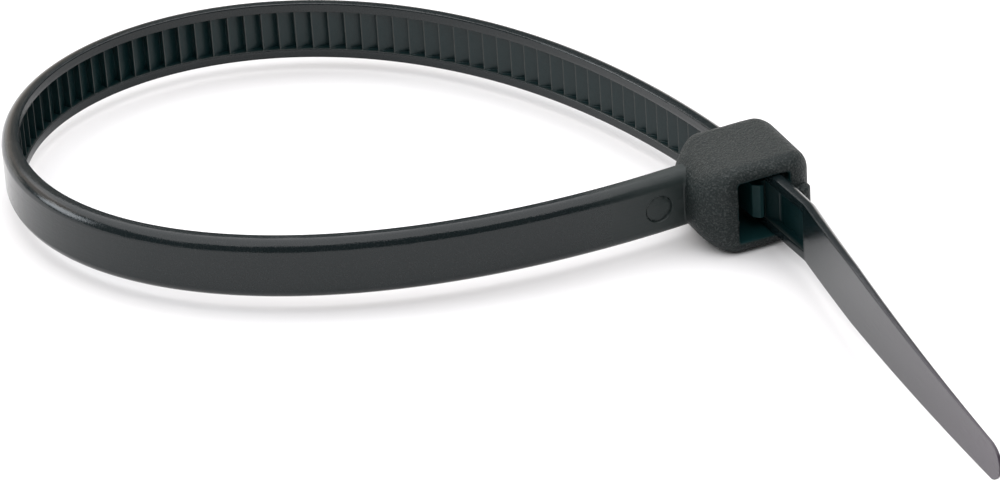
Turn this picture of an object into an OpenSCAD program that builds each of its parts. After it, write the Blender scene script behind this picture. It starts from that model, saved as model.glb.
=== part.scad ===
// Moulded cable tie, closed to its widest loop: a toothed strap with rounded shoulders leaves one
// end of a chunky rounded head, loops round, and passes through the head past the locking pawl.
// The tail beyond the head is plain, kinked and tapered. The loop lies flat, strap width upright.
// Millimetres. X runs along the loop, Y across it, Z up. The origin is under the middle of the box.

/* [Strap] */
// Width of the strap
strap_w = 7.6; // [7:0.1:8.2]
// Thickness of the strap between its two faces
strap_t = 2.2; // [2:0.05:2.5]
// Width of each rounded shoulder beside the flat outer face
shoulder_w = 1.3; // [0.9:0.1:1.6]
// How far each shoulder falls back from the outer face
shoulder_d = 1.2; // [0.8:0.1:1.4]
// Width of the plain rail on each side of the teeth
rail_w = 1.2; // [0.9:0.1:1.5]
// Length of plain strap between the head and the first tooth
plain_root = 14; // [8:1:30]
// Radius of the hollow rounding where the outer face runs into the head
root_fillet = 0.8; // [0.6:0.1:1.6]

/* [Teeth] */
// Distance from one tooth to the next
tooth_pitch = 2.1; // [1.9:0.05:2.4]
// Depth of the floor at the foot of each tooth wall
tooth_depth = 1.2; // [0.9:0.05:1.3]
// Depth of each tooth's tip below the rails
tip_drop = 0.15; // [0.1:0.05:0.3]
// Length of the plain recess between the last tooth and the kink
run_out = 7.3; // [5:0.1:12]

/* [Loop] */
// Angle between the head and the long direction of the loop
head_turn = 22; // [16:1:28]
// Angle by which the strap leaves the head off its axis
root_bend = 5; // [0:0.5:7]
// Distance from the head to the far end of the loop
loop_reach = 78.6; // [68:0.1:90]
// How far the far end of the loop lies behind the root
loop_rise = 19.9; // [16:0.1:24]
// How far the near run holds its first direction
near_hold = 53.3; // [48:0.1:62]
// How far the near run holds the direction of the far end
near_turn = 24.4; // [20:0.1:28]
// How far the far run holds the direction of the far end
far_turn = 31; // [28:0.1:38]
// How far the far run holds the direction in which it enters the head
far_hold = 82; // [68:0.1:86]

/* [Head] */
// Length of the head along the strap
head_l = 14.1; // [13.7:0.1:15.3]
// Depth of the head from the entry face to the exit face
head_d = 12.1; // [11.4:0.1:13.2]
// Width of the head across the strap
head_w = 11.2; // [10.6:0.1:12.4]
// How far the head stands in from the strap on the entry side
head_in = 3.9; // [3.4:0.1:4.3]
// Rounding of the corners at the strap end
root_round = 4.2; // [3:0.1:5]
// Rounding of the corners at the free end
end_round = 2.6; // [1.6:0.1:3]
// Rounding of the four long edges
edge_round = 1.7; // [1:0.1:2]
// Radius of the ball that takes the points off the eight corners
corner_ball = 9.1; // [8.9:0.1:10]
// How far the head laps back over the root of the strap
root_lap = 0.6; // [0.4:0.1:1]

/* [Passage] */
// Distance from the root to the wall of the passage that carries the pawl
slot_start = 3.6; // [3.3:0.1:3.9]
// Distance from the root to the toothed face of the strap where it passes through
seat = 7.9; // [7.7:0.1:8.1]
// How far inside the exit face the strap comes straight
seat_in = 0.1; // [0.1:0.1:2]
// Angle by which the strap slants away from the head as it leaves
seat_slant = 2.6; // [0:0.2:4]
// Play between the strap and the walls of the passage
play = 0.15; // [0.1:0.05:0.25]
// Room beside the toothed face where the strap slants in
entry_room = 1.1; // [0.9:0.1:1.4]
// Flare of the mouth on the entry side
mouth = 0.7; // [0.4:0.1:0.9]
// Rounding of the corners of the passage
slot_round = 0.5; // [0.3:0.1:0.7]
// Length of the pawl's root between its last tooth and the block that carries it
pawl_foot = 0.9; // [0.6:0.1:1.4]
// Width of the pawl
pawl_w = 4.4; // [3.6:0.1:4.6]
// Thickness of the pawl behind its teeth
pawl_t = 1.2; // [1:0.1:1.7]
// Number of teeth on the pawl
pawl_teeth = 3; // [2:1:3]
// Gap between the pawl and the toothed face
pawl_gap = 0.25; // [0.2:0.05:0.35]
// Gap between the tips of the pawl's teeth and the floor of the strap's teeth
tip_gap = 0.4; // [0.3:0.05:0.5]

/* [Tail] */
// Angle of the kink where the teeth end
kink = 9.9; // [5:0.1:14]
// Angle by which the tail bows back over its length
tail_bow = 5; // [0:0.5:9]
// Length of the plain tail
tail_l = 55; // [44:1:64]
// Length of the tail before it starts to narrow
tail_even = 15; // [8:1:24]
// Width of the tail at its tip
tip_w = 4.7; // [3.6:0.1:5.5]
// Thickness of the strap at the kink
kink_t = 1.75; // [1.5:0.05:2.2]
// Thickness of the tail at its tip
tip_t = 0.5; // [0.4:0.05:1]
// Length of the step from the end of the recess to the kink
kink_land = 0.2; // [0.1:0.1:1]

/* [Marks] */
// Distance from the head to the round mould mark
mark_at = 4.1; // [3.4:0.1:6]
// Diameter of the round mould mark
mark_d = 3.4; // [2.4:0.1:4]
// Depth of the round mould mark
mark_depth = 0.15; // [0.1:0.05:0.25]
// Radius of the rounded lip beside the exit
lip_r = 1.1; // [0.8:0.1:1.3]
// Length of the rounded lip
lip_l = 3; // [2:0.1:6]
// Distance from the passage to the middle of the lip
lip_at = 1.5; // [1.2:0.1:1.8]

/* [Hidden] */
nylon = [0.10, 0.12, 0.12];
$fn = 96;

// Directions: along the head, and out through its passage.
along = [cos(head_turn), sin(head_turn)];
out = [sin(head_turn), -cos(head_turn)];
exit_n = head_d - head_in;
seat_n = exit_n - seat_in;
slot_end = seat + strap_t + play;
slot_h = strap_w / 2 + play;

// The loop: two curves that meet, upright to the long direction, at the far end of the loop.
root_dir = [cos(head_turn + root_bend + 180), sin(head_turn + root_bend + 180)];
far_point = [-loop_reach, loop_rise];
seat_point = along * seat + out * seat_n;
near_ctrl = [[0, 0], root_dir * near_hold, far_point - [0, near_turn], far_point];
seat_a = head_turn - 90 + seat_slant;
seat_dir = [cos(seat_a), sin(seat_a)];
far_ctrl = [far_point, far_point + [0, far_turn], seat_point - seat_dir * far_hold, seat_point];
curve_n = 90;
function on_curve(c, t) = c[0] * pow(1 - t, 3) + c[1] * 3 * t * pow(1 - t, 2)
    + c[2] * 3 * t * t * (1 - t) + c[3] * pow(t, 3);
function slope(c, t) = (c[1] - c[0]) * pow(1 - t, 2) + (c[2] - c[1]) * 2 * t * (1 - t)
    + (c[3] - c[2]) * t * t;
function heading(v) = atan2(v[1], v[0]) < -90 ? atan2(v[1], v[0]) + 360 : atan2(v[1], v[0]);
line_xy = concat(
    [for (i = [0:curve_n]) on_curve(near_ctrl, i / curve_n)],
    [for (i = [1:curve_n]) on_curve(far_ctrl, i / curve_n)]);
line_a = concat(
    [for (i = [0:curve_n]) heading(slope(near_ctrl, i / curve_n))],
    [for (i = [1:curve_n]) heading(slope(far_ctrl, i / curve_n))]);
line_s = [for (i = 0, s = 0; i < len(line_xy); i = i + 1,
    s = s + (i < len(line_xy) ? norm(line_xy[i] - line_xy[i - 1]) : 0)) s];
table_x = [for (i = [0:len(line_s) - 1]) [line_s[i], line_xy[i][0]]];
table_y = [for (i = [0:len(line_s) - 1]) [line_s[i], line_xy[i][1]]];
table_a = [for (i = [0:len(line_s) - 1]) [line_s[i], line_a[i]]];

// Lengths along the strap: the seat in the head, the kink and the tip of the tail.
s_seat = line_s[len(line_s) - 1];
s_stop = s_seat + run_out;
s_kink = s_stop + kink_land;
s_tip = s_kink + tail_l;
s_even = s_kink + tail_even;
tail_a = seat_a - kink;
kink_point = seat_point + seat_dir * (s_kink - s_seat);
function bowed(s) = tail_bow * (s - s_kink) / tail_l;
function chord(s) = bowed(s) == 0 ? s - s_kink :
    2 * tail_l / (tail_bow * PI / 180) * sin(bowed(s) / 2);
function place(s) =
    s <= 0 ? root_dir * s :
    s <= s_seat ? [lookup(s, table_x), lookup(s, table_y)] :
    s <= s_kink ? seat_point + seat_dir * (s - s_seat) :
    kink_point + chord(s) * [cos(tail_a + bowed(s) / 2), sin(tail_a + bowed(s) / 2)];
function turned(s) =
    s <= 0 ? head_turn + root_bend + 180 :
    s <= s_seat ? lookup(s, table_a) :
    s < s_kink - 0.01 ? seat_a :
    s < s_kink + 0.01 ? (seat_a + tail_a) / 2 : tail_a + bowed(s);

// Half the width and the thickness at each length: the strap thins past the head, and the tail is round.
tip_r = tip_w / 2;
s_round = s_tip - tip_r;
function half_w(s) =
    s <= s_even ? strap_w / 2 :
    s <= s_round ? strap_w / 2 + (tip_r - strap_w / 2) * (s - s_even) / (s_round - s_even) :
    tip_r * sqrt(max(0.04, 1 - pow((s - s_round) / tip_r, 2)));
function hollow(d) = d >= root_fillet ? 0 :
    root_fillet - sqrt(pow(root_fillet, 2) - pow(root_fillet - max(0, d), 2));
function thick(s) =
    s <= s_seat ? strap_t + hollow(s - root_lap) :
    s <= s_kink ? strap_t + (kink_t - strap_t) * (s - s_seat) / (s_kink - s_seat) :
    kink_t + (tip_t - kink_t) * min(1, (s - s_kink) / (s_round - s_kink));

// Stations: the root with its hollow, one at each tooth tip, the end of the recess, then the tail.
teeth = floor((s_seat - plain_root) / tooth_pitch);
s_first = s_seat - teeth * tooth_pitch;
root_in = 2.5;
hollow_n = 4;
root_n = 5;
s_plain = root_lap + root_fillet;
root_st = concat([-root_in],
    [for (i = [0:hollow_n - 1]) root_lap + root_fillet * (1 - cos(90 * i / hollow_n))],
    [for (i = [0:root_n - 1]) s_plain + (s_first - s_plain) * i / root_n]);
tooth_st = concat([for (k = [0:teeth + 1]) s_first + k * tooth_pitch], [s_stop]);
even_n = 3;
tail_n = 7;
tail_st = concat([for (i = [0:even_n - 1]) s_kink + tail_even * i / even_n],
    [for (i = [0:tail_n]) s_even + (s_round - s_even) * i / tail_n]);
tip_st = [for (i = [1:4]) s_round + tip_r * sin(i * 19.5)];
stations = concat(root_st, tooth_st, tail_st, tip_st);
first_k = len(root_st);
last_k = first_k + teeth + 2;

// Outline of the plain section as [up, outward from the toothed face], one half and its mirror.
arc_n = 4;
bevel = 0.15;
function half_ring(h, t) = let (f = t / strap_t * h / (strap_w / 2), r = h / (strap_w / 2))
    concat([[h - rail_w * r, 0], [h - bevel * r, 0], [h, bevel * f]],
        [for (i = [0:arc_n]) let (q = 8 + i * 68 / arc_n)
            [h - shoulder_w * r * (1 - (cos(q) - cos(76)) / (cos(8) - cos(76))),
                t - shoulder_d * t / strap_t * (1 - (sin(q) - sin(8)) / (sin(76) - sin(8)))]]);
function ring(h, t) = let (a = half_ring(h, t), n = len(a))
    concat(a, [for (i = [n - 1:-1:0]) [-a[i][0], a[i][1]]]);
ring_n = len(ring(strap_w / 2, strap_t));
function lay(s, zo) = let (a = turned(s), p = place(s))
    [p[0] - sin(a) * zo[1], p[1] + cos(a) * zo[1], zo[0]];
skin = [for (s = stations) for (q = ring(half_w(s), thick(s))) lay(s, q)];
rail_z = strap_w / 2 - rail_w;
floor_pts = [for (s = tooth_st)
    for (q = [[rail_z, tip_drop], [-rail_z, tip_drop], [rail_z, tooth_depth], [-rail_z, tooth_depth]])
        lay(s, q)];
base = len(skin);
function rq(k, i) = k * ring_n + i;
function fq(k, i) = base + 4 * (k - first_k) + i;
function leave(k, side) = fq(k, k == last_k - 1 ? 2 + side : side);

// Faces as triangles: the skin, the two ends, the ramps, the tooth walls and the rail walls.
skin_faces = [for (k = [0:len(stations) - 2]) for (i = [0:ring_n - 2])
    for (f = [[rq(k, i), rq(k, i + 1), rq(k + 1, i + 1)], [rq(k, i), rq(k + 1, i + 1), rq(k + 1, i)]]) f];
plain_k = [for (k = [0:len(stations) - 2]) if (k < first_k || k >= last_k) k];
plain_faces = [for (k = plain_k)
    for (f = [[rq(k, ring_n - 1), rq(k, 0), rq(k + 1, 0)],
        [rq(k, ring_n - 1), rq(k + 1, 0), rq(k + 1, ring_n - 1)]]) f];
last = len(stations) - 1;
half_n = ring_n / 2;
end_faces = [for (i = [1:ring_n - 2]) for (f = [
    [rq(0, half_n), rq(0, (half_n + i + 1) % ring_n), rq(0, (half_n + i) % ring_n)],
    [rq(last, half_n), rq(last, (half_n + i) % ring_n), rq(last, (half_n + i + 1) % ring_n)]]) f];
ramp_faces = [for (k = [first_k:last_k - 1])
    for (f = [[leave(k, 1), leave(k, 0), fq(k + 1, 2)], [leave(k, 1), fq(k + 1, 2), fq(k + 1, 3)]]) f];
wall_faces = [for (k = [first_k + 1:last_k - 2])
    for (f = [[fq(k, 3), fq(k, 2), fq(k, 0)], [fq(k, 3), fq(k, 0), fq(k, 1)]]) f];
start_faces = [[rq(first_k, ring_n - 1), rq(first_k, 0), fq(first_k, 0)],
    [rq(first_k, ring_n - 1), fq(first_k, 0), fq(first_k, 1)]];
stop_faces = [[fq(last_k, 3), fq(last_k, 2), rq(last_k, 0)],
    [fq(last_k, 3), rq(last_k, 0), rq(last_k, ring_n - 1)]];
top_walls = [for (k = [first_k:last_k - 1]) let (tip = k + 1 < last_k - 1)
    for (f = tip ? [[rq(k, 0), rq(k + 1, 0), fq(k + 1, 0)], [rq(k, 0), fq(k + 1, 0), leave(k, 0)],
        [leave(k, 0), fq(k + 1, 0), fq(k + 1, 2)]]
        : [[rq(k, 0), rq(k + 1, 0), fq(k + 1, 2)], [rq(k, 0), fq(k + 1, 2), leave(k, 0)]]) f];
low = ring_n - 1;
low_walls = [for (k = [first_k:last_k - 1]) let (tip = k + 1 < last_k - 1)
    for (f = tip ? [[rq(k + 1, low), rq(k, low), fq(k + 1, 1)], [rq(k, low), leave(k, 1), fq(k + 1, 1)],
        [leave(k, 1), fq(k + 1, 3), fq(k + 1, 1)]]
        : [[rq(k + 1, low), rq(k, low), fq(k + 1, 3)], [rq(k, low), leave(k, 1), fq(k + 1, 3)]]) f];

// Shift that puts the origin under the middle of the box around the whole tie.
xs = [for (p = skin) p[0]];
ys = [for (p = skin) p[1]];
shift = [-(min(xs) + max(xs)) / 2, -(min(ys) + max(ys)) / 2, head_w / 2];

module strap() {
    polyhedron(concat(skin, floor_pts),
        concat(skin_faces, plain_faces, end_faces, ramp_faces, wall_faces, start_faces, stop_faces,
            top_walls, low_walls), convexity = 12);
}

// A rectangle with its own radius at each corner, in the order low-low, high-low, high-high, low-high.
module soft_rect(x0, x1, y0, y1, r) {
    polygon([[x0 + r[0], y0], [x1 - r[1], y0], [x1, y0 + r[1]], [x1, y1 - r[2]],
        [x1 - r[2], y1], [x0 + r[3], y1], [x0, y1 - r[3]], [x0, y0 + r[0]]]);
    translate([x0 + r[0], y0 + r[0]])
        circle(r[0]);
    translate([x1 - r[1], y0 + r[1]])
        circle(r[1]);
    translate([x1 - r[2], y1 - r[2]])
        circle(r[2]);
    translate([x0 + r[3], y1 - r[3]])
        circle(r[3]);
}

// Head in its own directions: X along the strap, Y towards the entry side, Z across the strap.
head_x0 = -root_lap;
head_x1 = head_x0 + head_l;
head_mid = [(head_x0 + head_x1) / 2, head_in - head_d / 2, 0];
module head_block() {
    intersection() {
        translate([0, 0, -head_w / 2])
            linear_extrude(head_w)
                soft_rect(head_x0, head_x1, -exit_n, head_in, [root_round, end_round, end_round, root_round]);
        translate([0, head_in, 0])
            rotate([90, 0, 0])
                linear_extrude(head_d)
                    soft_rect(head_x0, head_x1, -head_w / 2, head_w / 2,
                        [root_round, end_round, end_round, root_round]);
        translate([head_x0, 0, 0])
            rotate([90, 0, 90])
                linear_extrude(head_l)
                    soft_rect(-exit_n, head_in, -head_w / 2, head_w / 2,
                        [edge_round, edge_round, edge_round, edge_round]);
        translate(head_mid)
            sphere(corner_ball);
    }
}

// Passage: wide on the exit side, where the pawl can bend away, and close on the entry side.
pawl_back = 0.2;
pawl_ramp = 0.6 * tooth_pitch;
step_y = -seat_n + pawl_teeth * tooth_pitch + pawl_back + pawl_ramp + pawl_foot;
over = 1;
lip_sink = 0.2;
module passage() {
    translate([0, step_y, 0])
        rotate([90, 0, 0])
            linear_extrude(head_d)
                soft_rect(slot_start, slot_end, -slot_h, slot_h,
                    [slot_round, slot_round, slot_round, slot_round]);
    translate([0, 0, -slot_h])
        linear_extrude(2 * slot_h)
            polygon([[seat - entry_room, step_y - over], [slot_end, step_y - over],
                [slot_end, head_in - over], [slot_end + mouth, head_in + over],
                [seat - entry_room - mouth, head_in + over], [seat - entry_room, head_in - over]]);
}

// Pawl: a tongue rising from the bridge towards the exit, its teeth seated before the strap's tooth walls.
pawl_x = seat - pawl_gap;
pawl_tip = seat + tooth_depth - tip_gap;
pawl_end = 0.7;
pawl_turn = seat_slant + 0.6;
pawl_top = -seat_n + tooth_pitch - pawl_end;
module pawl_tooth(k) {
    wall_y = -seat_n + k * tooth_pitch + pawl_back;
    polygon([[pawl_x - pawl_gap, wall_y - pawl_back / 2], [pawl_tip, wall_y], [pawl_x, wall_y + pawl_ramp],
        [pawl_x - pawl_gap, wall_y + pawl_ramp]]);
}
module pawl() {
    pawl_back_x = pawl_x - pawl_t;
    translate([seat, -seat_n, -pawl_w / 2])
        rotate([0, 0, pawl_turn])
            translate([-seat, seat_n, 0])
                linear_extrude(pawl_w) {
                    polygon([[pawl_back_x - entry_room, step_y + over], [pawl_x - entry_room, step_y + over],
                        [pawl_x - pawl_gap, step_y], [pawl_x, step_y - over], [pawl_x, pawl_top],
                        [pawl_back_x + pawl_end, pawl_top], [pawl_back_x, pawl_top + pawl_end],
                        [pawl_back_x, step_y - over], [pawl_back_x - entry_room, step_y]]);
                    for (k = [1:pawl_teeth])
                        pawl_tooth(k);
                }
}

module head() {
    difference() {
        union() {
            head_block();
            translate([slot_end + lip_at, -exit_n + lip_sink, -lip_l / 2])
                cylinder(h = lip_l, r = lip_r);
        }
        passage();
    }
    pawl();
}

// Round mould mark in the flat outer face close to the head.
module mould_mark() {
    p = place(mark_at);
    a = turned(mark_at);
    translate([p[0], p[1], 0])
        rotate([0, 0, a])
            translate([0, strap_t - mark_depth, 0])
                rotate([-90, 0, 0])
                    cylinder(h = 2, d = mark_d);
}

module cable_tie() {
    color(nylon)
        translate(shift)
            union() {
                difference() {
                    strap();
                    mould_mark();
                }
                rotate([0, 0, head_turn])
                    head();
            }
}

cable_tie();
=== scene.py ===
# %% [markdown]
# # A moulded cable tie, closed to a wide loop
#
# This lesson dresses a black nylon cable tie that lies on its side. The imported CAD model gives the
# frame: its size, its place and its one rigid body. Every visible surface is worked out again here as
# whole numpy arrays, fine enough for a close look: the toothed strap, the rounded head with its
# passage, the locking pawl and the small lip beside the exit.
# Shapes are worked out in millimetres from the tie's own sizes and turned to metres at the end.

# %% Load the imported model
import math

import bpy
import numpy as np
from mathutils import Matrix, Vector


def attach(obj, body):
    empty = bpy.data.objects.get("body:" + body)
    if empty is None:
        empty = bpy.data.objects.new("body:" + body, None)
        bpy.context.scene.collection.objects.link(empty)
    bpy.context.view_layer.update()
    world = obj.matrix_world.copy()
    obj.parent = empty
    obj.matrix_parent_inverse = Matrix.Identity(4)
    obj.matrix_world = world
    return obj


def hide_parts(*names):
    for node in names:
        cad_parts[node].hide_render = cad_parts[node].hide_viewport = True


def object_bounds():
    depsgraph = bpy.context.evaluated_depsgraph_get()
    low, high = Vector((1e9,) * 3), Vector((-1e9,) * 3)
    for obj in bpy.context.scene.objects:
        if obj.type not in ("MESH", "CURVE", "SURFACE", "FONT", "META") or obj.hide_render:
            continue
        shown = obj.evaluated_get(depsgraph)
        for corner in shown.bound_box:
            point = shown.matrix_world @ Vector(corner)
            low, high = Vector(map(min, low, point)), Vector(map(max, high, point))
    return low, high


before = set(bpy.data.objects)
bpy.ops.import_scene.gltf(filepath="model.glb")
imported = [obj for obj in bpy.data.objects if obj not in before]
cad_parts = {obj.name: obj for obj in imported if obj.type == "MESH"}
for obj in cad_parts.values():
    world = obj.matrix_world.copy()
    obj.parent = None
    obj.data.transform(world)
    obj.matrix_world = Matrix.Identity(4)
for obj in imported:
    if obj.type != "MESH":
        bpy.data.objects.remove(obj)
cad_box = [list(corner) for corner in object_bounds()]
BODY = "root"
NODE = "cable_tie"
MM = 0.001
print("CAD box in mm:", [[round(v / MM, 2) for v in corner] for corner in cad_box])

# %% [markdown]
# ## Sizes
#
# The strap is a standard 7.6 mm wide tie. Its teeth come every 2.1 mm. These values repeat the ones
# that the CAD model was built from, because the looks have to sit exactly where the solids are.

# %% Sizes of the strap, its teeth and its tail
STRAP_W, STRAP_T = 7.6, 2.2
SHOULDER_W, SHOULDER_D = 1.3, 1.2
RAIL_W = 1.2
PLAIN_ROOT = 14.0
ROOT_FILLET = 0.45
TOOTH_PITCH, TOOTH_DEPTH, TIP_DROP = 2.1, 1.2, 0.15
RUN_OUT, KINK_LAND = 7.3, 0.2
KINK, TAIL_BOW = math.radians(9.9), math.radians(5)
TAIL_L, TAIL_EVEN, KINK_T, TIP_W, TIP_T = 55.0, 15.0, 1.75, 4.7, 0.5

# %% Sizes of the loop
HEAD_TURN = math.radians(22)
ROOT_BEND = math.radians(5)
SEAT_SLANT = math.radians(2.6)
LOOP_REACH, LOOP_RISE = 78.6, 19.9
NEAR_HOLD, NEAR_TURN, FAR_TURN, FAR_HOLD = 53.3, 24.4, 31.0, 82.0

# %% Sizes of the head, its passage and its pawl
HEAD_L, HEAD_D, HEAD_W, HEAD_IN = 14.1, 12.1, 11.2, 3.9
ROOT_ROUND, END_ROUND, EDGE_ROUND = 4.2, 2.6, 1.7
ROOT_LAP = 0.6
SLOT_START, SEAT, SEAT_IN, PLAY = 3.6, 7.9, 0.1, 0.15
ENTRY_ROOM, MOUTH = 1.1, 0.7
PAWL_W, PAWL_T, PAWL_TEETH, PAWL_GAP, TIP_GAP = 4.4, 1.2, 3, 0.25, 0.4
PAWL_BACK, PAWL_RAMP, PAWL_END, PAWL_FOOT = 0.2, 0.6 * TOOTH_PITCH, 0.7, 0.9
MARK_AT, MARK_D, MARK_DEPTH = 4.1, 3.4, 0.15
LIP_R, LIP_L, LIP_AT, LIP_SINK = 1.1, 3.0, 1.5, 0.2
EXIT_N = HEAD_D - HEAD_IN
SEAT_N = EXIT_N - SEAT_IN
SLOT_END = SEAT + STRAP_T + PLAY
SLOT_H = STRAP_W / 2 + PLAY

# %% [markdown]
# ## The line that the strap follows
#
# The strap leaves one end of the head, goes round in a teardrop and comes back through the passage.
# A spline drawn by hand would do, but the loop has to match the CAD solid, so the line is worked out
# from the same two cubic curves. Each curve is a weighted mean of four corner points.
# Past the head the strap runs straight, then turns by about ten degrees where the recess ends, and the
# tail bows back a little on its way to the tip.

# %% Two cubic curves, then the kinked tail
def cubic(corners, t):
    """Each point is the mean of four corners, weighted (1-t)^3, 3t(1-t)^2, 3t^2(1-t) and t^3."""
    t = t[:, None]
    a, b, c, d = corners
    return a * (1 - t) ** 3 + 3 * b * t * (1 - t) ** 2 + 3 * c * t ** 2 * (1 - t) + d * t ** 3


def direction(angle):
    """The unit vector at an angle: its cosine along X and its sine along Y."""
    return np.array([np.cos(angle), np.sin(angle)])


ALONG = direction(HEAD_TURN)
OUT = direction(HEAD_TURN - math.pi / 2)
root_dir = direction(HEAD_TURN + ROOT_BEND + math.pi)
far_point = np.array([-LOOP_REACH, LOOP_RISE])
seat_point = ALONG * SEAT + OUT * SEAT_N
seat_dir = direction(HEAD_TURN + SEAT_SLANT - math.pi / 2)
UP = np.array([0.0, 1.0])
share = np.linspace(0, 1, 3000)
near_run = cubic([np.zeros(2), root_dir * NEAR_HOLD, far_point - UP * NEAR_TURN, far_point], share)
far_run = cubic([far_point, far_point + UP * FAR_TURN, seat_point - seat_dir * FAR_HOLD, seat_point], share)
loop_xy = np.vstack([near_run, far_run[1:]])
loop_s = np.append(0, np.cumsum(np.hypot(*np.diff(loop_xy, axis=0).T)))
loop_a = np.unwrap(np.arctan2(*np.gradient(loop_xy, axis=0).T[::-1]))
s_seat = loop_s[-1]
print("strap from the root to its seat in the head:", round(s_seat, 2), "mm")

# %% Lengths along the strap
s_stop = s_seat + RUN_OUT
s_kink = s_stop + KINK_LAND
s_even = s_kink + TAIL_EVEN
s_tip = s_kink + TAIL_L
tip_r = TIP_W / 2
s_round = s_tip - tip_r
teeth = int((s_seat - PLAIN_ROOT) // TOOTH_PITCH)
s_first = s_seat - teeth * TOOTH_PITCH
print("teeth:", teeth, " whole strap:", round(s_tip, 1), "mm")


# %% One table for the whole line
def ease(x):
    """Goes from 0 to 1 as x does, level at both ends: 3x^2 - 2x^3."""
    x = np.clip(x, 0, 1)
    return x * x * (3 - 2 * x)


KINK_SPAN = 0.7
ROOT_IN = 2.5
past_s = np.linspace(s_seat, s_tip + 1, 6000)
past_a = (loop_a[-1] - KINK * ease((past_s - s_kink) / KINK_SPAN + 0.5)
          + TAIL_BOW * np.clip((past_s - s_kink) / TAIL_L, 0, None))
past_step = np.diff(past_s)[:, None] * direction((past_a[1:] + past_a[:-1]) / 2).T
past_xy = loop_xy[-1] + np.cumsum(past_step, axis=0)
line_s = np.concatenate([[-ROOT_IN - 1], loop_s, past_s[1:]])
line_xy = np.vstack([root_dir * (-ROOT_IN - 1), loop_xy, past_xy])
line_a = np.concatenate([[loop_a[0]], loop_a, past_a[1:]])
print("the line has", len(line_s), "points")


def place(s):
    """Point of the strap's toothed face and heading at length s, read between the table's rows."""
    x, y, a = (np.interp(s, line_s, column) for column in (*line_xy.T, line_a))
    return np.stack([x, y], -1), a


# %% [markdown]
# ## From millimetres beside the root to metres in the frame
#
# The CAD model puts its origin under the middle of its box. The strap is the widest part of it, so
# the middle of the strap's outline gives the shift. The strap's middle plane is half a head's width up.
# The shift could be typed in as two numbers, but worked out here it follows the CAD box by itself.

# %% Shift into the frame
outline_s = np.linspace(0, s_tip, 4000)
outline_p, outline_a = place(outline_s)
outline_t = np.interp(outline_s, [s_seat, s_kink, s_round], [STRAP_T, KINK_T, TIP_T])
outer = outline_p + outline_t[:, None] * np.stack([-np.sin(outline_a), np.cos(outline_a)], -1)
both = np.vstack([outline_p, outer])
frame_mid = (np.array(cad_box[0]) + np.array(cad_box[1]))[:2] / 2 / MM
SHIFT = np.append(frame_mid - (both.min(0) + both.max(0)) / 2, HEAD_W / 2)
print("root of the strap in the frame:", SHIFT.round(2), "mm")


def to_frame(points):
    """Adds the shift to points in millimetres and turns them to metres."""
    return (np.asarray(points) + SHIFT) * MM


def head_point(a, n, z):
    """Point at a mm along the head, n mm out through its passage and z mm across the strap."""
    a, n, z = np.broadcast_arrays(a, n, z)
    flat = a[..., None] * ALONG + n[..., None] * OUT
    return np.concatenate([flat, z[..., None]], -1)


# %% [markdown]
# ## Turning arrays into meshes
#
# Blender's cubes and cylinders could be cut, joined and bevelled, but then the tool decides where the
# edges run. So each piece is a grid of points: rows along it, columns round it. The faces join
# neighbouring rows and columns, and the two ends are closed with one flat face each, or with the
# first row again, so no gap can open. Weighted normals keep wide faces flat right up to a narrow
# rounded edge.

# %% A grid of points becomes a closed mesh
SHARP = math.radians(38)


def grid_faces(rows, columns, ring):
    """Four corners of each face: row i and i+1, column j and j+1, with the last column joined to
    the first, and the last row too if ring is true."""
    i = np.arange(rows if ring else rows - 1)[:, None]
    j = np.arange(columns)[None, :]
    below, above = i * columns, (i + 1) % rows * columns
    beside = (j + 1) % columns
    return np.stack([below + j, above + j, above + beside, below + beside], -1).reshape(-1, 4)


def solid_from_grid(name, points, finish, ring=False):
    """Mesh object from points[row, column, xyz] in millimetres, closed at both ends. Its columns go
    round clockwise, seen from the last row, and that turns the faces outwards."""
    rows, columns = points.shape[:2]
    faces = grid_faces(rows, columns, ring).tolist()
    if not ring:
        first = list(range(columns))
        last = [(rows - 1) * columns + k for k in range(columns)]
        faces += [first, last[::-1]]
    mesh = bpy.data.meshes.new(name)
    mesh.from_pydata(to_frame(points.reshape(-1, 3)).tolist(), [], faces)
    mesh.shade_smooth()
    mesh.set_sharp_from_angle(angle=SHARP)
    mesh.materials.append(finish)
    piece = bpy.data.objects.new(name, mesh)
    bpy.context.scene.collection.objects.link(piece)
    even = piece.modifiers.new("even_normals", "WEIGHTED_NORMAL")
    even.keep_sharp = True
    print(name, ":", len(mesh.vertices), "points,", len(mesh.polygons), "faces")
    return piece


# %% Numbers that the points carry for their material
def set_values(piece, name, values):
    """Stores one number for each point of the piece, for its material to read."""
    attribute = piece.data.attributes.new(name, "FLOAT", "POINT")
    attribute.data.foreach_set("value", np.asarray(values, np.float32).ravel())


def set_vectors(piece, name, vectors):
    """Stores three numbers for each point of the piece."""
    attribute = piece.data.attributes.new(name, "FLOAT_VECTOR", "POINT")
    attribute.data.foreach_set("vector", np.asarray(vectors, np.float32).ravel())


# %% [markdown]
# ## Materials as sums
#
# A shader is a tree of nodes, but its maths reads better as a sum. This small class wraps the output
# of a node, and plus, minus and times on it add the Math nodes. Every other node comes from one
# method that takes the node's type, its settings and what its sockets get. Colours are mixed by a Mix
# node, because a Math node would turn them grey.

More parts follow.
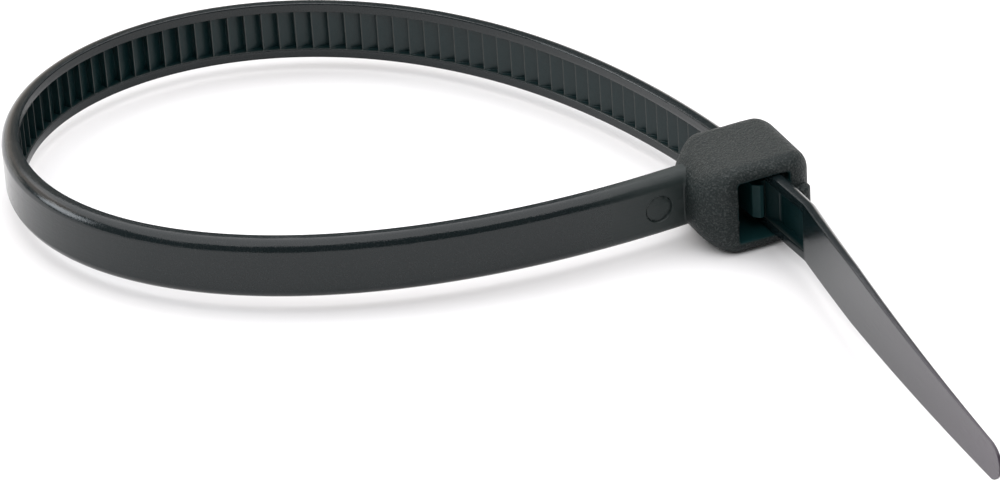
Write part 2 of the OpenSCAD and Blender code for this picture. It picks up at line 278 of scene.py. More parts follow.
# %% A socket that can be used in a sum
class Wire:
    """One output socket of a material, with arithmetic."""

    def __init__(self, tree, socket):
        self.tree, self.socket = tree, socket

    def add_node(self, kind, settings=None, inputs=None, out=0):
        """Adds a node, sets its settings, then its sockets, and gives the wire of its output."""
        node = self.tree.nodes.new(kind)
        for key, value in (settings or {}).items():
            setattr(node, key, value)
        for key, value in (inputs or {}).items():
            if isinstance(value, Wire):
                self.tree.links.new(value.socket, node.inputs[key])
            else:
                node.inputs[key].default_value = value
        return Wire(self.tree, node.outputs[out] if node.outputs else None)

    def maths(self, operation, *values):
        """The Math node with this operation on these values."""
        return self.add_node("ShaderNodeMath", {"operation": operation}, dict(enumerate(values)))

    def __add__(self, other):
        return self.maths("ADD", self, other)

    def __sub__(self, other):
        return self.maths("SUBTRACT", self, other)

    def __rsub__(self, other):
        return self.maths("SUBTRACT", other, self)

    def __mul__(self, other):
        return self.maths("MULTIPLY", self, other)

    __radd__ = __add__
    __rmul__ = __mul__

    def between(self, low, high):
        """0 where the value is at low, 1 where it is at high, and smooth between them."""
        return self.add_node("ShaderNodeMapRange", {"interpolation_type": "SMOOTHSTEP"},
                             {"Value": self, "From Min": low, "From Max": high})

    def mix_colour(self, low, high):
        """The colour low where this value is 0 and high where it is 1."""
        return self.add_node("ShaderNodeMix", {"data_type": "RGBA"},
                             {0: self, 6: low, 7: high}, out=2)


# %% Helpers that every material uses
def new_material(name):
    """An empty material, a wire to start its tree from and one with the object's own coordinates."""
    material = bpy.data.materials.new(name)
    material.use_nodes = True
    tree = material.node_tree
    tree.nodes.clear()
    start = Wire(tree, None)
    return material, start, start.add_node("ShaderNodeTexCoord", out="Object")


def noise(at, scale, detail=3.0, rough=0.5):
    """Soft random values from 0 to 1, in patches about 1 / scale metres across."""
    return at.add_node("ShaderNodeTexNoise", {"noise_dimensions": "3D"},
                       {"Vector": at, "Scale": scale, "Detail": detail, "Roughness": rough})


def point_value(start, name, out="Fac"):
    """The number that each point of the piece carries under this name, or the vector if out says so."""
    return start.add_node("ShaderNodeAttribute", {"attribute_name": name}, {}, out=out)


def close_material(start, **sockets):
    """Joins the sockets to a Principled shader and that to the material's output."""
    inputs = {name.replace("_", " "): value for name, value in sockets.items()}
    shader = start.add_node("ShaderNodeBsdfPrincipled", {}, inputs)
    start.add_node("ShaderNodeOutputMaterial", {}, {"Surface": shader})


# %% [markdown]
# ## Satin nylon for the strap
#
# The strap comes out of a polished mould: black nylon with a satin gloss. One even gloss would look
# like paint, because up close the real skin isn't even. Faint cloudy patches show where the melt
# flowed, the gloss is a little duller in places, and the skin has a very fine grain. Noise at three
# sizes gives each of these, on colour, roughness and bump.
# The recess with the teeth is duller, because a cut insert shapes it and not the polished mould. Its
# colour is painted shade: a darker teal, the tint of the shade that falls in the recess. The crests of
# the teeth are painted paler, a painted highlight for the thin line of light that they catch. Each point
# of the strap carries two values for this, recess and crest, that are 1 there and 0 elsewhere, and the
# material reads them. A third value, matt, is 1 at the head and fades out along the root, where the
# head's dull texture runs out. A fourth value rises from 0 at the kink to 1 at the tip and paints the
# tail a paler mauve grey: a painted reflection of the white table, which the tail's face mirrors.
# Fine lines run lengthwise, from polishing the mould and from pulling the strap out of it. They have
# to follow the bend, so each point also carries its place in the strap's own terms: along it, across
# it and through it. The noise for the lines is stretched twenty times along the first of the three.

# %% The strap's colours
CLOUD_DARK, CLOUD_PALE = (0.0030, 0.0072, 0.0082, 1), (0.0050, 0.0090, 0.0100, 1)
SATIN_DUST = (0.0150, 0.0180, 0.0185, 1)
# The recess's colour is painted shade, darker and more teal than the rest of the strap.
RECESS_PAINTED_SHADE = (0.0018, 0.0135, 0.0148, 1)
MATT_BLACK = (0.0130, 0.0200, 0.0195, 1)
# A painted reflection of the white table: a paler mauve grey on the tail toward its tip.
TAIL_SHEEN_GREY = (0.055, 0.046, 0.058, 1)
# A painted highlight on the crests of the teeth.
CREST_HIGHLIGHT_GREY = (0.052, 0.054, 0.050, 1)
LENGTHWISE = (0.05, 1, 1)


# %% The strap's material
def satin_nylon():
    """Roughness is a plain gloss plus a share of each of: flow, scuffs, grain, recess, lines and matt.
    The height for the bump is grain, a slower noise and the lines, each times its own share."""
    material, start, at = new_material("satin_nylon")
    recess, crest = point_value(start, "recess"), point_value(start, "crest")
    matt, tail_sheen = point_value(start, "matt"), point_value(start, "tail_sheen")
    laid = point_value(start, "laid", out="Vector")
    flow = noise(at, 90.0, 3.0, 0.55)
    grain = noise(at, 5200.0, 2.0, 0.6)
    scuff = noise(at, 900.0, 4.0, 0.65).between(0.52, 0.75)
    stretched = laid.add_node("ShaderNodeVectorMath", {"operation": "MULTIPLY"}, {0: laid, 1: LENGTHWISE})
    lines = noise(stretched, 4500.0, 2.0, 0.6)
    drawn = lines.between(0.55, 0.72)
    cloudy = flow.between(0.3, 0.7).mix_colour(CLOUD_DARK, CLOUD_PALE)
    dusty = grain.between(0.5, 0.8).mix_colour(cloudy, SATIN_DUST)
    # Painted shade: the recess takes a darker teal colour, and the matt root takes its own colour.
    recess_shade_and_matt = matt.mix_colour(recess.mix_colour(dusty, RECESS_PAINTED_SHADE), MATT_BLACK)
    # Painted reflection: the tail grows a paler mauve grey toward its tip.
    with_tail_sheen = (tail_sheen * (0.6 + 0.8 * grain)).mix_colour(recess_shade_and_matt, TAIL_SHEEN_GREY)
    # Painted highlight: the crests of the teeth are paler.
    colour = (crest * (0.5 + 0.5 * scuff)).mix_colour(with_tail_sheen, CREST_HIGHLIGHT_GREY)
    gloss = 0.09 + 0.05 * flow + 0.08 * scuff + 0.04 * grain + 0.20 * recess + 0.10 * drawn + 0.32 * matt
    height = grain + 0.6 * noise(at, 1400.0) + 1.2 * lines
    skin = start.add_node("ShaderNodeBump", {}, {"Strength": 0.3, "Distance": 0.04 * MM, "Height": height})
    close_material(start, Base_Color=colour, Roughness=gloss, Normal=skin, IOR=1.40)
    return material


# %% [markdown]
# ## Textured nylon for the head
#
# The outside of the head has a matt, fine, sparked texture that scatters light, so it looks greyer
# than the strap. It is far finer than the mesh, so it is bump and not geometry. Inside the passage the
# steel core left the plastic smooth, and the pawl too, because the same core shapes it. There the colour
# is painted shade: a dark teal, the tint of the shade inside the passage. A second material could do
# that, but it would meet the first in a hard line. So each point carries a value, grain, that is 1
# outside and 0 in the passage and on the pawl, and one material reads it.

# %% The head's colours
HEAD_DARK, HEAD_PALE = (0.0040, 0.0090, 0.0092, 1), (0.0070, 0.0120, 0.0118, 1)
HEAD_DUST = (0.035, 0.042, 0.041, 1)
# Painted shade: the teal colour inside the passage and on the pawl.
PASSAGE_PAINTED_SHADE = (0.0040, 0.0300, 0.0320, 1)


# %% The head's material
def textured_nylon():
    """The sparks and the pits, which are half as fine, give the height. The colour goes from cloudy to
    dusty on the sparks, and the passage has one colour, a plain roughness and no height."""
    material, start, at = new_material("textured_nylon")
    outside = point_value(start, "grain")
    sparks = noise(at, 4200.0, 2.0, 0.5)
    pits = noise(at, 2000.0, 1.0, 0.5)
    cloud = noise(at, 160.0, 3.0, 0.5)
    cloudy = cloud.between(0.3, 0.7).mix_colour(HEAD_DARK, HEAD_PALE)
    dusty = sparks.between(0.48, 0.68).mix_colour(cloudy, HEAD_DUST)
    # Painted shade in the passage and on the pawl, and the textured colour outside.
    colour = outside.mix_colour(PASSAGE_PAINTED_SHADE, dusty)
    dull = 0.55 + outside * (0.16 * sparks - 0.12)
    height = outside * (sparks + 0.7 * pits)
    skin = start.add_node("ShaderNodeBump", {}, {"Strength": 1.0, "Distance": 0.2 * MM, "Height": height})
    close_material(start, Base_Color=colour, Roughness=dull, Normal=skin, IOR=1.33)
    return material


# %% Both finishes
satin = satin_nylon()
textured = textured_nylon()
print("materials:", satin.name, textured.name)

# %% [markdown]
# ## The teeth along the strap
#
# Seen from the side, the floor of the recess is a row of ramps. Each ramp deepens on its way from the
# root, and a steep wall brings the floor back up at the next tooth. A real mould rounds these corners,
# and the rounded crest is what catches the light as a thin line. So one tooth is drawn with two
# corners, and each corner is rounded. An Array modifier could repeat the tooth along a curve, but
# with a seam at every copy. Here the tooth's ten stations are repeated as numbers, and the whole strap
# stays one skin.

# %% One rounded tooth, repeated
WALL_DRAFT = 0.07
CREST_TRIM, FOOT_TRIM = 0.11, 0.2
CREST_POINTS, FOOT_POINTS = 4, 3
RAMP_SHARES = (0.09, 0.35, 0.65)
LEAD_IN = 0.12


def rounded(before, corner, after, trim, count):
    """Replaces a corner by a quadratic curve that starts and ends trim before and after it."""
    before, corner, after = (np.asarray(p, float) for p in (before, corner, after))
    start = corner + (before - corner) * trim / np.linalg.norm(before - corner)
    end = corner + (after - corner) * trim / np.linalg.norm(after - corner)
    t = np.linspace(0, 1, count)[:, None]
    return start * (1 - t) ** 2 + corner * 2 * t * (1 - t) + end * t ** 2


foot_before = (-WALL_DRAFT, TOOTH_DEPTH)
crest = (0.0, TIP_DROP)
foot = (TOOTH_PITCH - WALL_DRAFT, TOOTH_DEPTH)
next_crest = (TOOTH_PITCH, TIP_DROP)
one_tooth = np.vstack([
    rounded(foot_before, crest, foot, CREST_TRIM, CREST_POINTS),
    [np.array(crest) + (np.array(foot) - crest) * share for share in RAMP_SHARES],
    rounded(crest, foot, next_crest, FOOT_TRIM, FOOT_POINTS)])
tooth_at = s_first + TOOTH_PITCH * np.arange(teeth)
teeth_s = (tooth_at[:, None] + one_tooth[:, 0]).ravel()
teeth_d = np.tile(one_tooth[:, 1], teeth)
crest_end_s, crest_end_d = one_tooth[CREST_POINTS - 1]
teeth_s[:CREST_POINTS] = s_first + np.linspace(-LEAD_IN, crest_end_s, CREST_POINTS)
teeth_d[:CREST_POINTS] = np.linspace(0, crest_end_d, CREST_POINTS)
print("one tooth has", len(one_tooth), "stations, the whole strap", len(teeth_s))

# %% Stations along the plain root, close together round the mould mark
MARK_WALL = 0.10
MARK_SWEEP = 1.32
MARGIN = 0.4
mark_r = MARK_D / 2
mark_half = np.concatenate([mark_r * np.sin(np.linspace(0, MARK_SWEEP, 18)),
                            mark_r - MARK_WALL * np.array([0.3, 0.15, 0.0, -0.4, -1, -1.5])])
root_s = np.concatenate([
    [-ROOT_IN, 0.0],
    ROOT_LAP + ROOT_FILLET * (1 - np.cos(np.linspace(0, math.pi / 2, 9)))[:-1],
    MARK_AT - mark_half, MARK_AT + mark_half,
    np.linspace(MARK_AT + mark_r + MARGIN, s_first - MARGIN, 12)])
root_s = np.unique(root_s.round(4))
print("stations before the teeth:", len(root_s))

# %% Stations past the teeth, then all of them
STOP_TRIM, STOP_EDGE = 0.12, 0.07
stop_foot, stop_top = (s_stop - WALL_DRAFT, TOOTH_DEPTH), (s_stop, 0.0)
run_s = np.linspace(s_seat + MARGIN / 2, s_stop - 0.5, 16)
run_d = np.full(len(run_s), TOOTH_DEPTH)
stop_edge = np.vstack([
    rounded((s_stop - 1, TOOTH_DEPTH), stop_foot, stop_top, STOP_TRIM, 4),
    rounded(stop_foot, stop_top, (s_stop + 1, 0.0), STOP_EDGE, 4)])
tail_s = np.concatenate([
    s_kink + np.linspace(-0.08, 0.5, 9),
    np.linspace(s_kink + 1, s_round, 45)])
tip_s = s_round + tip_r * np.sin(np.linspace(0, math.pi / 2, 16)[1:])
station_s = np.concatenate([root_s, teeth_s, run_s, stop_edge[:, 0], tail_s, tip_s])
station_d = np.concatenate([0 * root_s, teeth_d, run_d, stop_edge[:, 1], 0 * tail_s, 0 * tip_s])
assert np.all(np.diff(station_s) > 0), "stations out of order"
print("stations:", len(station_s))

# %% [markdown]
# ## The strap's section
#
# Across, the strap has a flat outer face between two big rounded shoulders, short upright sides, and
# two rails beside the recess. The shoulder stops a little short of level with the flat face, which
# leaves the crease that runs all round the tie. A curve with a bevel profile would carry one section
# along, but this one changes on the way, with the teeth, the round mark and the tapering tail. So the
# section is worked out for all stations at once: one array of heights across the strap and one of
# distances out from the toothed face.

# %% Half width and thickness at each station
LEAST_TIP = 0.0004


def strap_width(s):
    """Half the width: constant to the kink, then straight down to the tip, then a half circle."""
    taper = STRAP_W / 2 + (tip_r - STRAP_W / 2) * np.clip((s - s_even) / (s_round - s_even), 0, 1)
    tip = np.sqrt(np.clip(1 - (np.clip(s - s_round, 0, None) / tip_r) ** 2, LEAST_TIP, 1))
    return taper * tip


def strap_thickness(s):
    """Thickness: even to the head, thinning past it to the kink and then on to the tip."""
    return np.interp(s, [s_seat, s_kink, s_round], [STRAP_T, KINK_T, TIP_T])


HOLLOW_FLAT, HOLLOW_FADE = 1.7, 1.6


def root_hollow(s, z):
    """Height added to the outer face where it runs into the head: a quarter circle along the strap,
    at full height up to HOLLOW_FLAT from the middle and fading out over the next HOLLOW_FADE."""
    d = np.clip(s - ROOT_LAP, 0, ROOT_FILLET)
    rise = ROOT_FILLET - np.sqrt(ROOT_FILLET ** 2 - (ROOT_FILLET - d) ** 2)
    return rise[:, None] * (1 - ease((np.abs(z) - HOLLOW_FLAT) / HOLLOW_FADE))


# %% Points across the outer flat
CREASE = 0.05
LEAST_RIM = 0.2


def across_flat(s):
    """Heights of the points across the outer flat, from its edge to the middle. The rim of the round
    mark is at the square root of its radius squared less the distance along the strap squared, and
    four points of every station stand on the mark's wall."""
    edge = STRAP_W / 2 - SHOULDER_W - CREASE
    rim = np.sqrt(np.clip(mark_r ** 2 - (s - MARK_AT) ** 2, LEAST_RIM ** 2, None))[:, None]
    outside = edge + (rim - edge) * np.array([0, 0.25, 0.5, 0.75, 0.93])
    wall = rim - np.minimum(MARK_WALL, rim / 2) * np.array([0, 0.33, 0.67, 1])
    inside = wall[:, -1:] * np.array([0.66, 0.33, 0])
    return np.concatenate([outside, wall, inside], 1)


# %% Half a section as two arrays
EDGE = 0.15
EASED = 0.08


def half_section(s, depth):
    """Height z and distance out from the toothed face, for each station and each point of half a
    section, from the middle of the recess floor round to the middle of the outer face. The recess's
    wall goes from the floor's depth to 0 and is eased at its top, the rail and the side are straight,
    and the shoulder is the part of an ellipse from 8 to 76 degrees."""
    h, t, d = strap_width(s)[:, None], strap_thickness(s)[:, None], depth[:, None]
    r = h / (STRAP_W / 2)
    f = t / STRAP_T
    rail = h - RAIL_W * r
    floor_z = rail * np.array([0.0, 0.4, 0.8, 0.93])
    wall_z = rail + r * np.array([-0.06, -0.03, -0.012, 0.0, 0.03, 0.08])
    wall_o = d * np.array([1.0, 0.93, 0.5, 0, 0, 0]) + np.minimum(d, EASED) * np.array([0, 0, 0, 1, 0.3, 0])
    rail_z = h - r * np.array([0.7, 0.3, EDGE, 0.06, 0.015])
    rail_o = f * np.array([0.0, 0.0, 0.0, 0.02, 0.06])
    side_z = h + np.zeros(3)
    side_o = f * np.array([EDGE, 0.4, 0.75])
    q = np.radians(np.linspace(8, 76, 10))
    across = 1 - (np.cos(q) - np.cos(q[-1])) / (np.cos(q[0]) - np.cos(q[-1]))
    away = 1 - (np.sin(q) - np.sin(q[0])) / (np.sin(q[-1]) - np.sin(q[0]))
    arc_z = h - SHOULDER_W * r * across
    arc_o = t - SHOULDER_D * f * away
    flat_z = r * across_flat(s)
    flat_o = t + 0 * flat_z
    z = np.concatenate([floor_z, wall_z, rail_z, side_z, arc_z, flat_z], 1)
    o = np.concatenate([d + 0 * floor_z, wall_o + 0 * wall_z, rail_o + 0 * rail_z,
                        side_o + 0 * side_z, arc_o, flat_o], 1)
    return z, o


# %% The round mould mark near the head
MARK_GROOVE = 0.17


def sink_mark(s, z, o):
    """Lowers the outer face inside the mark: full depth inside its radius, none outside, a smooth
    wall between, and at the wall a narrow groove, which is a bell curve of the distance from it."""
    away = np.hypot(s[:, None] - MARK_AT, z)
    outer_face = o > STRAP_T - SHOULDER_D
    from_wall = (away - mark_r + MARK_WALL / 2) / (MARK_WALL / 2)
    sunk = MARK_DEPTH * ease((mark_r - away) / MARK_WALL) + MARK_GROOVE * np.exp(-from_wall ** 2)
    return o - outer_face * sunk


# %% Lay the sections along the line
def mirrored(half, sign=1):
    """The whole section: half of it, then its columns again from the last to the first, times sign,
    without the two that lie on the middle plane."""
    return np.concatenate([half, sign * half[:, -2:0:-1]], 1)


half_z, half_o = half_section(station_s, station_d)
half_o = sink_mark(station_s, half_z, half_o)
half_o += root_hollow(station_s, half_z) * (half_o > STRAP_T / 2)
section_z = mirrored(half_z, -1)
section_o = mirrored(half_o)
centre, heading = place(station_s)
outward = np.stack([-np.sin(heading), np.cos(heading)], -1)
strap_xy = centre[:, None, :] + section_o[..., None] * outward[:, None, :]
strap_points = np.concatenate([strap_xy, section_z[..., None]], -1)
strap = solid_from_grid("strap", strap_points, satin)

# %% What the strap's material reads
RECESS_COLUMNS = 8
RECESS_START, CREST_DEEP = 0.1, 0.07
MATT_END, TAIL_SHEEN_RISE = 18.0, 1.6
# The recess value makes the recess duller and gives it its painted shade colour.
in_recess = np.clip(half_o / RECESS_START, 0, 1) * (np.arange(half_o.shape[1]) < RECESS_COLUMNS)
# Points on the crests get the painted highlight.
crest_highlight_mask = in_recess * (half_o < TIP_DROP + CREST_DEEP)
matt_root = ease((MATT_END - station_s) / (MATT_END - ROOT_LAP))
# The share of the painted reflection on the tail, from the kink to the tip.
tail_sheen_share = np.clip((station_s - s_kink) / (s_tip - s_kink), 0, 1) ** TAIL_SHEEN_RISE
set_values(strap, "recess", mirrored(in_recess))
set_values(strap, "crest", mirrored(crest_highlight_mask))
set_values(strap, "matt", matt_root[:, None] + 0 * section_z)
set_values(strap, "tail_sheen", tail_sheen_share[:, None] + 0 * section_z)
set_vectors(strap, "laid", np.stack([station_s[:, None] + 0 * section_z, section_z, section_o], -1) * MM)
print("crest points:", int(np.count_nonzero(crest_highlight_mask)), " matt up to:", MATT_END, "mm from the root")

# %% [markdown]
# ## The head
#
# The head is a chunky block with a passage through it. A cube with bevels and a Boolean cut could make
# it, but the cut leaves long thin faces that shade badly beside such soft edges. With a hole through
# it, its skin closes on itself like a ring, so it can be a grid too: columns go round the passage, and
# rows go out through the passage, over the exit face, down the outside and back over the entry face.
# Each row is a rectangle with rounded corners.

# %% A rectangle with rounded corners, for many rows at once
SIDE_N, ARC_N = 14, 12


def soft_rectangle(x0, x1, y1, radius_low, radius_high):
    """Points round the rectangle from x0 to x1 and from -y1 to y1: four arcs joined by straight
    sides. Each argument may be an array with one value for each row."""
    x0, x1, y1, low, high = (np.atleast_1d(v)[:, None] for v in (x0, x1, y1, radius_low, radius_high))
    turn = np.linspace(0, math.pi / 2, ARC_N)
    run = np.linspace(0, 1, SIDE_N + 2)[1:-1]
    c, s = np.cos(turn), np.sin(turn)
    far_top = (x1 - high + high * c, y1 - high + high * s)
    near_top = (x0 + low - low * s, y1 - low + low * c)
    top = (x1 - high + (x0 + low - x1 + high) * run, y1 + 0 * run)
    left = (x0 + 0 * run, (y1 - low) * (1 - 2 * run))
    near_low = (x0 + low - low * c, -(y1 - low) - low * s)
    low_side = (x0 + low + (x1 - high - x0 - low) * run, -y1 + 0 * run)
    far_low = (x1 - high + high * s, -(y1 - high) - high * c)
    right = (x1 + 0 * run, -(y1 - high) * (1 - 2 * run))
    parts = (far_top, top, near_top, left, near_low, low_side, far_low, right)
    rows = max(len(x0), len(x1), len(y1), len(low), len(high))
    x = np.concatenate([np.broadcast_to(p[0], (rows, p[0].shape[1])) for p in parts], 1)
    y = np.concatenate([np.broadcast_to(p[1], (rows, p[1].shape[1])) for p in parts], 1)
    return x, y


head_x0, head_x1 = -ROOT_LAP, HEAD_L - ROOT_LAP
full_x, full_z = soft_rectangle(head_x0, head_x1, HEAD_W / 2, ROOT_ROUND + 0.2, END_ROUND)
full_x, full_z = full_x[0], full_z[0]
inward = np.stack([np.roll(full_z, -1) - np.roll(full_z, 1), np.roll(full_x, 1) - np.roll(full_x, -1)], -1)
inward = -inward / np.linalg.norm(inward, axis=1, keepdims=True)
print("columns round the head:", len(full_x))


# %% Edge radius round the head
def edge_radius(root_edge):
    """Rounding of the rim at each column: root_edge at the strap's end, the end rounding at the free
    end and the edge rounding at the two sides, blended by how far the skin faces each way."""
    facing = -inward
    root_share = ease(np.clip(-facing[:, 0], 0, 1))
    end_share = ease(np.clip(facing[:, 0], 0, 1))
    return EDGE_ROUND + (root_edge - EDGE_ROUND) * root_share + (END_ROUND - EDGE_ROUND) * end_share


LEAST_FLAT = 0.25


def rim(hole_x, hole_z, face_n, out_sign, root_edge, rows):
    """Rows from the mouth of the passage over a face to the outer wall. The flat part runs from the
    hole to the start of the rounding, and the rounding is a quarter of an ellipse."""
    hole = np.stack([hole_x, hole_z], -1)
    full = np.stack([full_x, full_z], -1)
    tall = edge_radius(root_edge)
    wide = np.minimum(tall, np.linalg.norm(full - hole, axis=1) - LEAST_FLAT)
    start = full + inward * wide[:, None]
    flat = np.linspace(0, 1, 6)[:-1, None, None]
    flat_xz = hole + (start - hole) * flat
    flat_n = face_n + 0 * flat_xz[..., 0]
    q = np.linspace(0, math.pi / 2, rows)[:, None]
    round_xz = full + inward * (wide * (1 - np.sin(q)))[..., None]
    round_n = face_n - out_sign * tall * (1 - np.cos(q))
    return np.concatenate([flat_xz, round_xz]), np.concatenate([flat_n, round_n])


# %% Rows through the passage, from the flared entry past the pawl's ledge to the exit
LEDGE_N = SEAT_N - PAWL_TEETH * TOOTH_PITCH - PAWL_BACK - PAWL_RAMP - PAWL_FOOT
MOUTH_ROUND = 0.16
CORNER = 0.5
slot_low = SEAT - ENTRY_ROOM
entry_n = -HEAD_IN + np.array([0.0, 0.15, 0.4, 0.8, 1.1, 1.6, 2.2])
entry_low = slot_low - MOUTH * np.array([1.0, 0.72, 0.42, 0.14, 0.0, 0.0, 0.0])
entry_high = SLOT_END + MOUTH * np.array([0.75, 0.5, 0.25, 0.06, 0.0, 0.0, 0.0])
ledge_n = LEDGE_N + np.array([-0.12, -0.03, 0.0, 0.0, 0.0, 0.0, 0.0])
ledge_low = np.concatenate([slot_low - np.array([0, 0.03, 0.12, 1]), SLOT_START + np.array([1, 0.15, 0])])
mouth_turn = np.linspace(0, math.pi / 2, 6)
straight_n = np.concatenate([LEDGE_N + np.array([0.15, 0.6]), np.linspace(1, EXIT_N - 0.5, 12)])
wall_n = np.concatenate([straight_n, EXIT_N - MOUTH_ROUND * (1 - np.sin(mouth_turn))])
lip_out = np.concatenate([0 * straight_n, MOUTH_ROUND * (1 - np.cos(mouth_turn))])
pass_n = np.concatenate([entry_n, ledge_n, wall_n])
pass_low = np.concatenate([entry_low, ledge_low, SLOT_START - lip_out])
pass_high = np.concatenate([entry_high, SLOT_END + 0 * ledge_low, SLOT_END + lip_out])
pass_half = np.concatenate([SLOT_H + 0 * entry_n, SLOT_H + 0 * ledge_low, SLOT_H + lip_out])
pass_x, pass_z = soft_rectangle(pass_low, pass_high, pass_half, CORNER + 0 * pass_n, CORNER + 0 * pass_n)
pass_height = pass_n[:, None] + 0 * pass_x
print("rows through the passage:", len(pass_n))

# %% Rows over the faces and down the outside
exit_xz, exit_n = rim(pass_x[-1], pass_z[-1], EXIT_N, 1, ROOT_ROUND, 16)
entry_xz, entry_height = rim(pass_x[0], pass_z[0], -HEAD_IN, -1, ROOT_ROUND, 14)
side_share = np.linspace(0, 1, 30)[1:-1, None]
side_n = exit_n[-1] + (entry_height[-1] - exit_n[-1]) * side_share
side_xz = np.broadcast_to(exit_xz[-1], (len(side_n), *exit_xz[-1].shape))
skin_xz = np.concatenate([np.stack([pass_x, pass_z], -1), exit_xz[1:], side_xz, entry_xz[:0:-1]])
skin_n = np.concatenate([pass_height, exit_n[1:], side_n, entry_height[:0:-1]])
head_points = head_point(skin_xz[..., 0], skin_n, skin_xz[..., 1])
head = solid_from_grid("head", head_points, textured, ring=True)
MOUTH_ROWS = 3
# Rows in the passage get the painted shade colour, and the mouth rows are half way.
row_grain = np.ones(len(skin_n))
row_grain[:len(pass_n)] = 0.0
row_grain[len(pass_n) - MOUTH_ROWS:len(pass_n)] = 0.5
set_values(head, "grain", np.repeat(row_grain, skin_n.shape[1]))

# %% [markdown]
# ## The pawl and the lip
#
# Inside the passage a tongue rises from the entry side. Its three teeth stand just short of the
# tooth walls of the strap, which is how the tie locks. Its outline is drawn once and carried across
# the passage, a little smaller at both ends so that its edges are soft. The lip is a small bead: a
# round bar across the head whose two ends are half an ellipse. Both sink into the head where nobody
# sees them, so they need no faces in common with it.

# %% The pawl's outline
OVER = 1.0
NOSE_BACK, NOSE_DOWN, TOP_TRIM = 0.05, 0.08, 0.1
pawl_x = SEAT - PAWL_GAP
pawl_tip = SEAT + TOOTH_DEPTH - TIP_GAP
PAWL_TURN = SEAT_SLANT + math.radians(0.6)
pawl_top = SEAT_N - TOOTH_PITCH + PAWL_END


def pawl_outline():
    """Corners of the tongue along the head and out through the passage: up its toothed face, round
    its end and down its back."""
    points = [(pawl_x - ENTRY_ROOM, LEDGE_N - OVER), (pawl_x - PAWL_GAP, LEDGE_N), (pawl_x, LEDGE_N + OVER)]
    for k in range(PAWL_TEETH, 0, -1):
        wall = SEAT_N - k * TOOTH_PITCH - PAWL_BACK
        points += [(pawl_x, wall - PAWL_RAMP), (pawl_tip - NOSE_BACK, wall - NOSE_DOWN),
                   (pawl_tip, wall), (pawl_x, wall + PAWL_BACK / 2)]
    points += [(pawl_x, pawl_top - TOP_TRIM), (pawl_x - TOP_TRIM, pawl_top),
               (pawl_x - PAWL_T + PAWL_END, pawl_top), (pawl_x - PAWL_T, pawl_top - PAWL_END),
               (pawl_x - PAWL_T, LEDGE_N + OVER), (pawl_x - PAWL_T - ENTRY_ROOM, LEDGE_N),
               (pawl_x - PAWL_T - ENTRY_ROOM, LEDGE_N - OVER)]
    points = np.array(points) - (SEAT, SEAT_N)
    c, s = math.cos(PAWL_TURN), math.sin(PAWL_TURN)
    return points @ np.array([[c, -s], [s, c]]) + (SEAT, SEAT_N)


# %% The pawl
def shrink(outline, by):
    """Moves each corner inwards along the mean of its two sides' normals."""
    ahead = np.roll(outline, -1, 0) - outline
    ahead /= np.linalg.norm(ahead, axis=1, keepdims=True)
    normal = np.stack([-ahead[:, 1], ahead[:, 0]], -1)
    mean = normal + np.roll(normal, 1, 0)
    return outline + by * mean / np.linalg.norm(mean, axis=1, keepdims=True)


SOFT_ACROSS, SOFT_IN = 0.08, 0.07
tongue = pawl_outline()
levels = np.array([-1, -1, 1, 1]) * PAWL_W / 2 + np.array([0, SOFT_ACROSS, -SOFT_ACROSS, 0])
layers = np.stack([shrink(tongue, SOFT_IN), tongue, tongue, shrink(tongue, SOFT_IN)])
pawl_points = head_point(layers[..., 0], layers[..., 1], levels[:, None] + 0 * layers[..., 0])
pawl = solid_from_grid("pawl", pawl_points, textured)
# The pawl takes the passage's painted shade colour.
set_values(pawl, "grain", np.zeros(layers[..., 0].size))

# %% The lip beside the exit
LIP_SQUASH, LIP_TRIM, LIP_START = 0.5, 0.86, 0.05
bead_turn = np.linspace(LIP_START, math.pi / 2, 8)
bead_half = LIP_TRIM * (LIP_L / 2 + LIP_R * LIP_SQUASH * np.cos(bead_turn))
bead_z = np.concatenate([-bead_half, bead_half[::-1]])
bead_r = LIP_R * np.concatenate([np.sin(bead_turn), np.sin(bead_turn)[::-1]])
bead_q = np.linspace(0, 2 * math.pi, 40, endpoint=False)
bead_a = SLOT_END + LIP_AT + bead_r[:, None] * np.cos(bead_q)
bead_n = EXIT_N - LIP_SINK + bead_r[:, None] * np.sin(bead_q)
lip = solid_from_grid("exit_lip", head_point(bead_a, bead_n, bead_z[:, None] + 0 * bead_a), textured)
set_values(lip, "grain", np.ones(bead_a.size))

# %% [markdown]
# ## Join the pieces to the frame
#
# On the real tie these four are one moulding. Here they stand together for the one CAD node, which
# is hidden, and they all ride on its body.

# %% Ride and replace
for piece in (strap, head, pawl, lip):
    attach(piece, BODY)
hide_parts(NODE)

# %% [markdown]
# ## Floor, light and camera
#
# The tie lies on a plain white table. Black gloss shows its surroundings more than its own colour: the
# upright faces mirror the white table, the shoulders mirror the soft light overhead, and the
# tight bend at the left catches a lower, cooler light from that side. Two warm cards, at the left and
# behind, brown the top of that bend, and a long low strip behind draws the thin line on the edges
# that lean away. The space behind the camera stays dim, which keeps the line along the crease dark.
# The camera stands where the photograph was taken from. Its height, roll and distance were found by
# laying the loop's outline over the one in the photograph, and it looks past the root of the strap.

# %% The floor
FLOOR_SIZE = 3.0


def pale_floor():
    """Nearly white, with patches two hundredths apart in brightness."""
    material, start, at = new_material("pale_floor")
    tone = noise(at, 6.0).between(0.2, 0.8).mix_colour((0.86, 0.86, 0.86, 1), (0.88, 0.88, 0.88, 1))
    close_material(start, Base_Color=tone, Roughness=0.9)
    return material


corners = FLOOR_SIZE / 2 * np.array([(-1, -1, 0), (1, -1, 0), (1, 1, 0), (-1, 1, 0)])
floor_mesh = bpy.data.meshes.new("floor")
floor_mesh.from_pydata(corners.tolist(), [], [(0, 1, 2, 3)])
floor_mesh.materials.append(pale_floor())
floor = bpy.data.objects.new("floor", floor_mesh)
bpy.context.scene.collection.objects.link(floor)


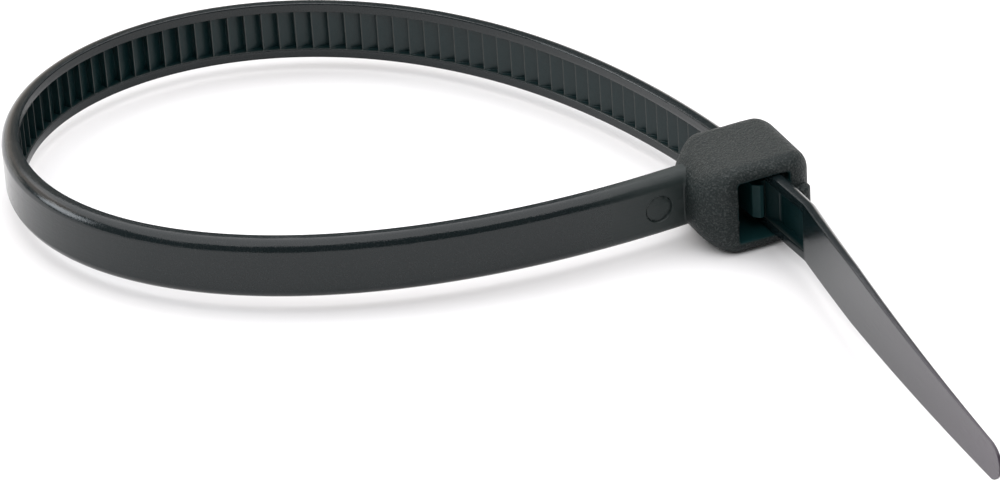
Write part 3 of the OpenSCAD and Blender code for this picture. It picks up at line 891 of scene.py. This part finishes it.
# %% Soft lights
def softbox(name, at, aim, size, watts, tint):
    """An area light of the given width and height in metres at one point, facing another."""
    data = bpy.data.lights.new(name, "AREA")
    data.shape = "RECTANGLE"
    data.size, data.size_y = size
    data.energy = watts
    data.color = tint
    box = bpy.data.objects.new(name, data)
    box.location = at
    box.rotation_mode = "QUATERNION"
    box.rotation_quaternion = (Vector(aim) - Vector(at)).to_track_quat("-Z", "Y")
    bpy.context.scene.collection.objects.link(box)


softbox("overhead", (0.0, 0.35, 1.40), (0, 0.35, 0), (3.2, 3.2), 72.0, (1.0, 0.985, 1.0))
softbox("left_side", (-0.95, 0.08, 0.31), (0, 0, 0), (0.38, 0.38), 3.3, (0.90, 0.95, 1.0))
softbox("warm_card", (-1.55, 0.80, 1.00), (0, 0, 0), (1.3, 0.8), 4.5, (1.0, 0.84, 0.73))
softbox("back_card", (-0.75, 1.60, 0.66), (0, 0, 0), (1.1, 0.45), 1.8, (1.0, 0.84, 0.72))
softbox("back_strip", (-0.5, 1.60, 0.22), (0, 0, 0), (3.0, 0.38), 5.5, (1.0, 0.93, 0.87))

# %% The dim room
ROOM_STRENGTH = 0.22
world = bpy.data.worlds.new("studio")
bpy.context.scene.world = world
world.use_nodes = True
world.node_tree.nodes["Background"].inputs["Color"].default_value = (1, 1, 1, 1)
world.node_tree.nodes["Background"].inputs["Strength"].default_value = ROOM_STRENGTH
bpy.context.scene.view_settings.view_transform = "Standard"

# %% The camera at the photograph's viewing angle
CAMERA_ELEVATION = math.radians(30.03)
CAMERA_ROLL = math.radians(3.68)
CAMERA_DISTANCE = 567.4
FOCAL_SHARE = 4.894
AIM_FROM_ROOT = np.array([-21.56, -8.55, 0.0])
SENSOR = 36.0
ce, se = math.cos(CAMERA_ELEVATION), math.sin(CAMERA_ELEVATION)
cr, sr = math.cos(CAMERA_ROLL), math.sin(CAMERA_ROLL)
aim = Vector(to_frame(AIM_FROM_ROOT))
level_right, level_up = Vector((1, 0, 0)), Vector((0, se, ce))
right = cr * level_right - sr * level_up
up = sr * level_right + cr * level_up
back = Vector((0, -ce, se))
turned = Matrix((right, up, back)).transposed().to_4x4()
camera_data = bpy.data.cameras.new("camera")
camera_data.sensor_width = SENSOR
camera_data.lens = FOCAL_SHARE * SENSOR
camera_data.clip_start, camera_data.clip_end = 0.01, 20.0
camera = bpy.data.objects.new("camera", camera_data)
camera.matrix_world = Matrix.Translation(aim + back * CAMERA_DISTANCE * MM) @ turned
bpy.context.scene.collection.objects.link(camera)
bpy.context.scene.camera = camera
print("camera lens:", round(camera_data.lens, 1), "mm")

# %% Update the view layer
bpy.context.view_layer.update()
